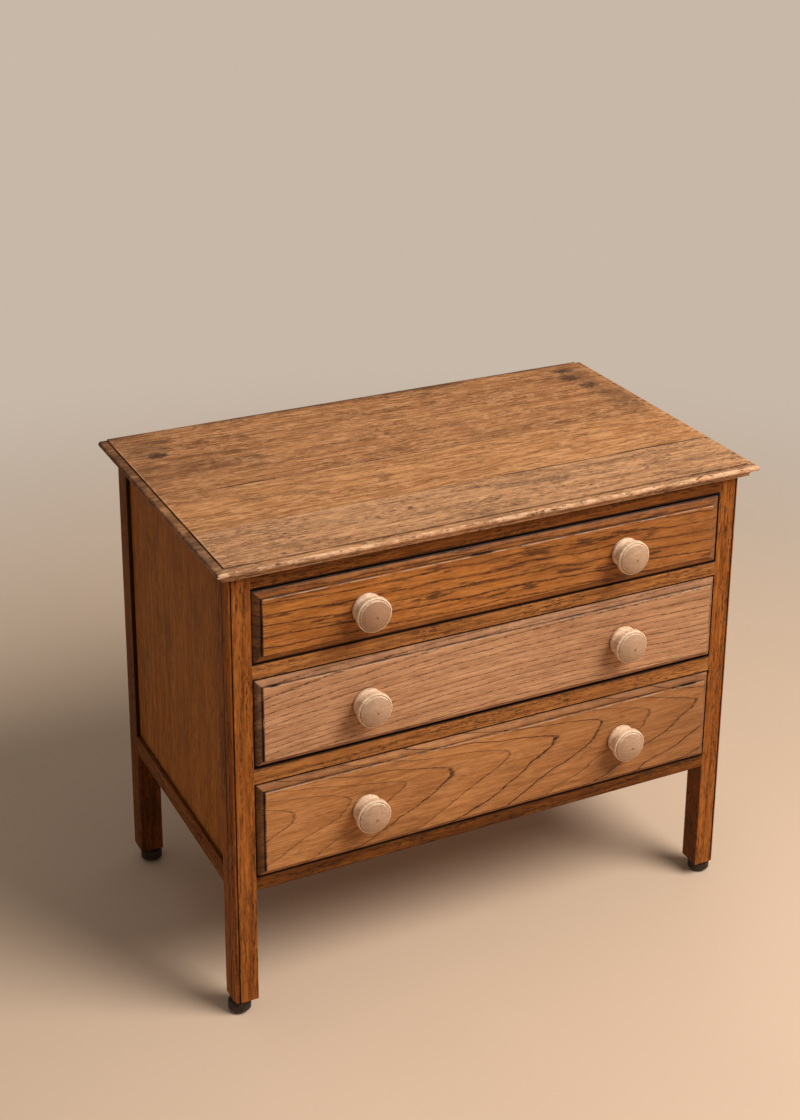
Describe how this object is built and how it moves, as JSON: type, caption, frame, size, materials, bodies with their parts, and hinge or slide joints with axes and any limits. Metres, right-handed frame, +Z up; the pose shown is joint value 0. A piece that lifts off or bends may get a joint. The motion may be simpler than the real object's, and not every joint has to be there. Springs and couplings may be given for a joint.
{
  "type": "chest of drawers",
  "caption": "Old oak chest of graduated fielded drawers with turned wooden knobs, panelled sides, a moulded board top and long square legs on small castors.",
  "frame": {"origin": "on the floor, under the middle of the whole chest's box, knobs included", "axes": "+Z up, the drawers face and open towards -Y, +X to the right of someone facing them"},
  "size_m": [0.9, 0.5566, 0.749],
  "materials": {
    "oak_top": "old oak, dry oiled finish with open pores",
    "oak_case": "old oak, dark oiled finish",
    "oak_panel": "old oak, dark oiled finish",
    "oak_front_orange": "old oak, warm oiled finish",
    "oak_front_pale": "old oak, paler oiled finish",
    "knob_wood": "bare turned wood",
    "drawer_lining": "planed bare wood",
    "inner_wood": "planed bare wood",
    "back_board": "unfinished thin board",
    "castor_iron": "dark iron, dull",
    "castor_wheel": "worn dark wheel",
    "steel_screw": "plain steel"
  },
  "bodies": {
    "case": {"top_board_front": "oak_top", "top_board_middle": "oak_top", "top_board_back": "oak_top", "front_left_leg": "oak_case", "front_right_leg": "oak_case", "rear_left_leg": "oak_case", "rear_right_leg": "oak_case", "top_front_rail": "oak_case", "upper_drawer_rail": "oak_case", "lower_drawer_rail": "oak_case", "bottom_front_rail": "oak_case", "left_lower_side_rail": "oak_case", "right_lower_side_rail": "oak_case", "left_side_panel": "oak_panel", "right_side_panel": "oak_panel", "left_upper_side_rail": "inner_wood", "right_upper_side_rail": "inner_wood", "upper_back_rail": "inner_wood", "lower_back_rail": "inner_wood", "drawer_stops": "inner_wood", "top_drawer_runner_left": "inner_wood", "top_drawer_runner_right": "inner_wood", "middle_drawer_runner_left": "inner_wood", "middle_drawer_runner_right": "inner_wood", "bottom_drawer_runner_left": "inner_wood", "bottom_drawer_runner_right": "inner_wood", "back_panel": "back_board", "top_screws": "steel_screw", "castor_sockets": "castor_iron"},
    "top_drawer": {"top_drawer_front": "oak_front_orange", "top_drawer_left_side": "drawer_lining", "top_drawer_right_side": "drawer_lining", "top_drawer_back": "drawer_lining", "top_drawer_bottom": "drawer_lining", "top_drawer_left_knob": "knob_wood", "top_drawer_right_knob": "knob_wood"},
    "middle_drawer": {"middle_drawer_front": "oak_front_pale", "middle_drawer_left_side": "drawer_lining", "middle_drawer_right_side": "drawer_lining", "middle_drawer_back": "drawer_lining", "middle_drawer_bottom": "drawer_lining", "middle_drawer_left_knob": "knob_wood", "middle_drawer_right_knob": "knob_wood"},
    "bottom_drawer": {"bottom_drawer_front": "oak_front_orange", "bottom_drawer_left_side": "drawer_lining", "bottom_drawer_right_side": "drawer_lining", "bottom_drawer_back": "drawer_lining", "bottom_drawer_bottom": "drawer_lining", "bottom_drawer_left_knob": "knob_wood", "bottom_drawer_right_knob": "knob_wood"},
    "front_left_castor": {"front_left_castor_horn": "castor_iron"},
    "front_left_wheel": {"front_left_castor_wheel": "castor_wheel"},
    "front_right_castor": {"front_right_castor_horn": "castor_iron"},
    "front_right_wheel": {"front_right_castor_wheel": "castor_wheel"},
    "rear_left_castor": {"rear_left_castor_horn": "castor_iron"},
    "rear_left_wheel": {"rear_left_castor_wheel": "castor_wheel"},
    "rear_right_castor": {"rear_right_castor_horn": "castor_iron"},
    "rear_right_wheel": {"rear_right_castor_wheel": "castor_wheel"}
  },
  "joints": [
    {"name": "top_drawer_slide", "type": "slide", "parent": "case", "child": "top_drawer", "axis": [0, -1, 0], "range_m": [0, 0.34]},
    {"name": "middle_drawer_slide", "type": "slide", "parent": "case", "child": "middle_drawer", "axis": [0, -1, 0], "range_m": [0, 0.34]},
    {"name": "bottom_drawer_slide", "type": "slide", "parent": "case", "child": "bottom_drawer", "axis": [0, -1, 0], "range_m": [0, 0.34]},
    {"name": "front_left_swivel", "type": "hinge", "parent": "case", "child": "front_left_castor", "pos_m": [-0.4125, -0.21375, 0.024], "axis": [0, 0, 1], "continuous": true},
    {"name": "front_left_roll", "type": "hinge", "parent": "front_left_castor", "child": "front_left_wheel", "pos_m": [-0.41841, -0.21271, 0.009], "axis": [-0.1736, -0.9848, 0], "continuous": true},
    {"name": "front_right_swivel", "type": "hinge", "parent": "case", "child": "front_right_castor", "pos_m": [0.4125, -0.21375, 0.024], "axis": [0, 0, 1], "continuous": true},
    {"name": "front_right_roll", "type": "hinge", "parent": "front_right_castor", "child": "front_right_wheel", "pos_m": [0.4171, -0.20989, 0.009], "axis": [-0.6428, 0.766, 0], "continuous": true},
    {"name": "rear_left_swivel", "type": "hinge", "parent": "case", "child": "rear_left_castor", "pos_m": [-0.4125, 0.21925, 0.024], "axis": [0, 0, 1], "continuous": true},
    {"name": "rear_left_roll", "type": "hinge", "parent": "rear_left_castor", "child": "rear_left_wheel", "pos_m": [-0.4095, 0.21405, 0.009], "axis": [0.866, 0.5, 0], "continuous": true},
    {"name": "rear_right_swivel", "type": "hinge", "parent": "case", "child": "rear_right_castor", "pos_m": [0.4125, 0.21925, 0.024], "axis": [0, 0, 1], "continuous": true},
    {"name": "rear_right_roll", "type": "hinge", "parent": "rear_right_castor", "child": "rear_right_wheel", "pos_m": [0.4095, 0.22445, 0.009], "axis": [-0.866, -0.5, 0], "continuous": true}
  ]
}
